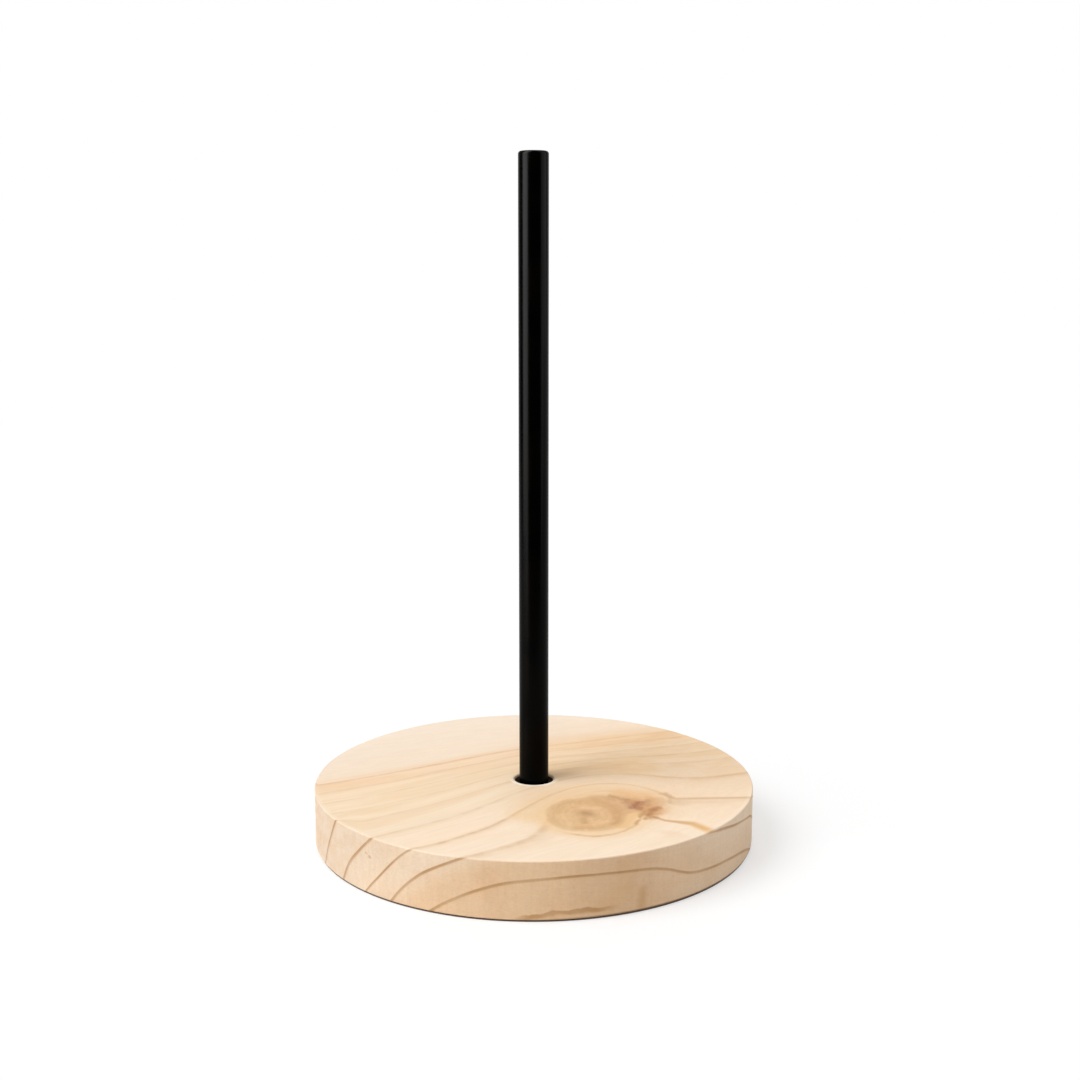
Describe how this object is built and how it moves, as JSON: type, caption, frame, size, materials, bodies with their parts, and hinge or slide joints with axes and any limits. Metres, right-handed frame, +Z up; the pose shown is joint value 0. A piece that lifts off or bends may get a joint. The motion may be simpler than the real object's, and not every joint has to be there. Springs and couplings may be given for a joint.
{
  "type": "thread spool holder",
  "caption": "Thread spool holder: a black steel spindle stands in the middle of a round pine base and turns freely on a ball bearing hidden in the wood, over a non-slip disc.",
  "frame": {"origin": "centre of the underside, on the table that the holder stands on", "axes": "+Z up along the spindle; the base is round, so X and Y are free: -Y is the side that the picture was taken from and +X is to the right there"},
  "size_m": [0.12, 0.12, 0.184],
  "materials": {
    "pine_wood": "planed and sanded pine with open grain, unvarnished",
    "black_coated_steel": "semi-gloss black coat",
    "bearing_steel": "ground and polished",
    "shield_steel": "pressed sheet, satin",
    "cage_nylon": "moulded, matt",
    "zinc_plated_steel": "bright zinc",
    "black_oxide_steel": "black oxide, oiled",
    "dark_rubber": "fine-textured, matt"
  },
  "bodies": {
    "base": {"base": "pine_wood", "non_slip_disc": "dark_rubber", "bearing_outer_ring": "bearing_steel", "bearing_upper_shield": "shield_steel", "bearing_lower_shield": "shield_steel", "bearing_retainer": "zinc_plated_steel", "retainer_screws": "zinc_plated_steel"},
    "spindle": {"spindle_rod": "black_coated_steel", "bearing_inner_ring": "bearing_steel", "spindle_washer": "zinc_plated_steel", "spindle_screw": "black_oxide_steel"},
    "cage": {"bearing_cage": "cage_nylon"},
    "ball_1": {"bearing_ball_1": "bearing_steel"},
    "ball_2": {"bearing_ball_2": "bearing_steel"},
    "ball_3": {"bearing_ball_3": "bearing_steel"},
    "ball_4": {"bearing_ball_4": "bearing_steel"},
    "ball_5": {"bearing_ball_5": "bearing_steel"},
    "ball_6": {"bearing_ball_6": "bearing_steel"},
    "ball_7": {"bearing_ball_7": "bearing_steel"}
  },
  "joints": [
    {"name": "spindle_spin", "type": "hinge", "parent": "base", "child": "spindle", "pos_m": [0, 0, 0.0059], "axis": [0, 0, 1], "continuous": true},
    {"name": "cage_spin", "type": "hinge", "parent": "base", "child": "cage", "pos_m": [0, 0, 0.0059], "axis": [0, 0, 1], "continuous": true},
    {"name": "ball_1_roll", "type": "hinge", "parent": "cage", "child": "ball_1", "pos_m": [0.00625, 0, 0.0059], "axis": [0, 0, 1], "continuous": true},
    {"name": "ball_2_roll", "type": "hinge", "parent": "cage", "child": "ball_2", "pos_m": [0.0039, 0.00489, 0.0059], "axis": [0, 0, 1], "continuous": true},
    {"name": "ball_3_roll", "type": "hinge", "parent": "cage", "child": "ball_3", "pos_m": [-0.00139, 0.00609, 0.0059], "axis": [0, 0, 1], "continuous": true},
    {"name": "ball_4_roll", "type": "hinge", "parent": "cage", "child": "ball_4", "pos_m": [-0.00563, 0.00271, 0.0059], "axis": [0, 0, 1], "continuous": true},
    {"name": "ball_5_roll", "type": "hinge", "parent": "cage", "child": "ball_5", "pos_m": [-0.00563, -0.00271, 0.0059], "axis": [0, 0, 1], "continuous": true},
    {"name": "ball_6_roll", "type": "hinge", "parent": "cage", "child": "ball_6", "pos_m": [-0.00139, -0.00609, 0.0059], "axis": [0, 0, 1], "continuous": true},
    {"name": "ball_7_roll", "type": "hinge", "parent": "cage", "child": "ball_7", "pos_m": [0.0039, -0.00489, 0.0059], "axis": [0, 0, 1], "continuous": true}
  ],
  "couplings": [
    {"joint": "cage_spin", "follows": "spindle_spin", "ratio": 0.36},
    {"joint": "ball_1_roll", "follows": "spindle_spin", "ratio": -1.6457},
    {"joint": "ball_2_roll", "follows": "spindle_spin", "ratio": -1.6457},
    {"joint": "ball_3_roll", "follows": "spindle_spin", "ratio": -1.6457},
    {"joint": "ball_4_roll", "follows": "spindle_spin", "ratio": -1.6457},
    {"joint": "ball_5_roll", "follows": "spindle_spin", "ratio": -1.6457},
    {"joint": "ball_6_roll", "follows": "spindle_spin", "ratio": -1.6457},
    {"joint": "ball_7_roll", "follows": "spindle_spin", "ratio": -1.6457}
  ]
}
